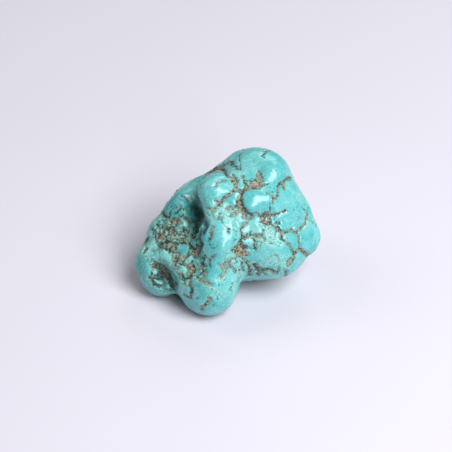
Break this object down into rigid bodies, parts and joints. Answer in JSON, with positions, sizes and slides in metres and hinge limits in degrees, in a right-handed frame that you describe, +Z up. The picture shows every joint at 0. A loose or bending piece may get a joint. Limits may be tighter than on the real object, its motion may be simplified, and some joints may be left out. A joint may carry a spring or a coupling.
{
  "type": "raw turquoise nugget",
  "caption": "Tumbled turquoise nugget: a lumpy blue-green stone with brown matrix veins, a cleft and a pitted end.",
  "frame": {"origin": "on the plane that the stone rests on, under the middle of its box", "axes": "+X along the stone's length, from the pitted foot to the right corner; +Z up as the stone rests; -Y towards the ridge and its foot in front"},
  "size_m": [0.05, 0.0404, 0.0338],
  "materials": {
    "turquoise": "satin"
  },
  "bodies": {
    "root": {"nugget": "turquoise"}
  },
  "joints": []
}
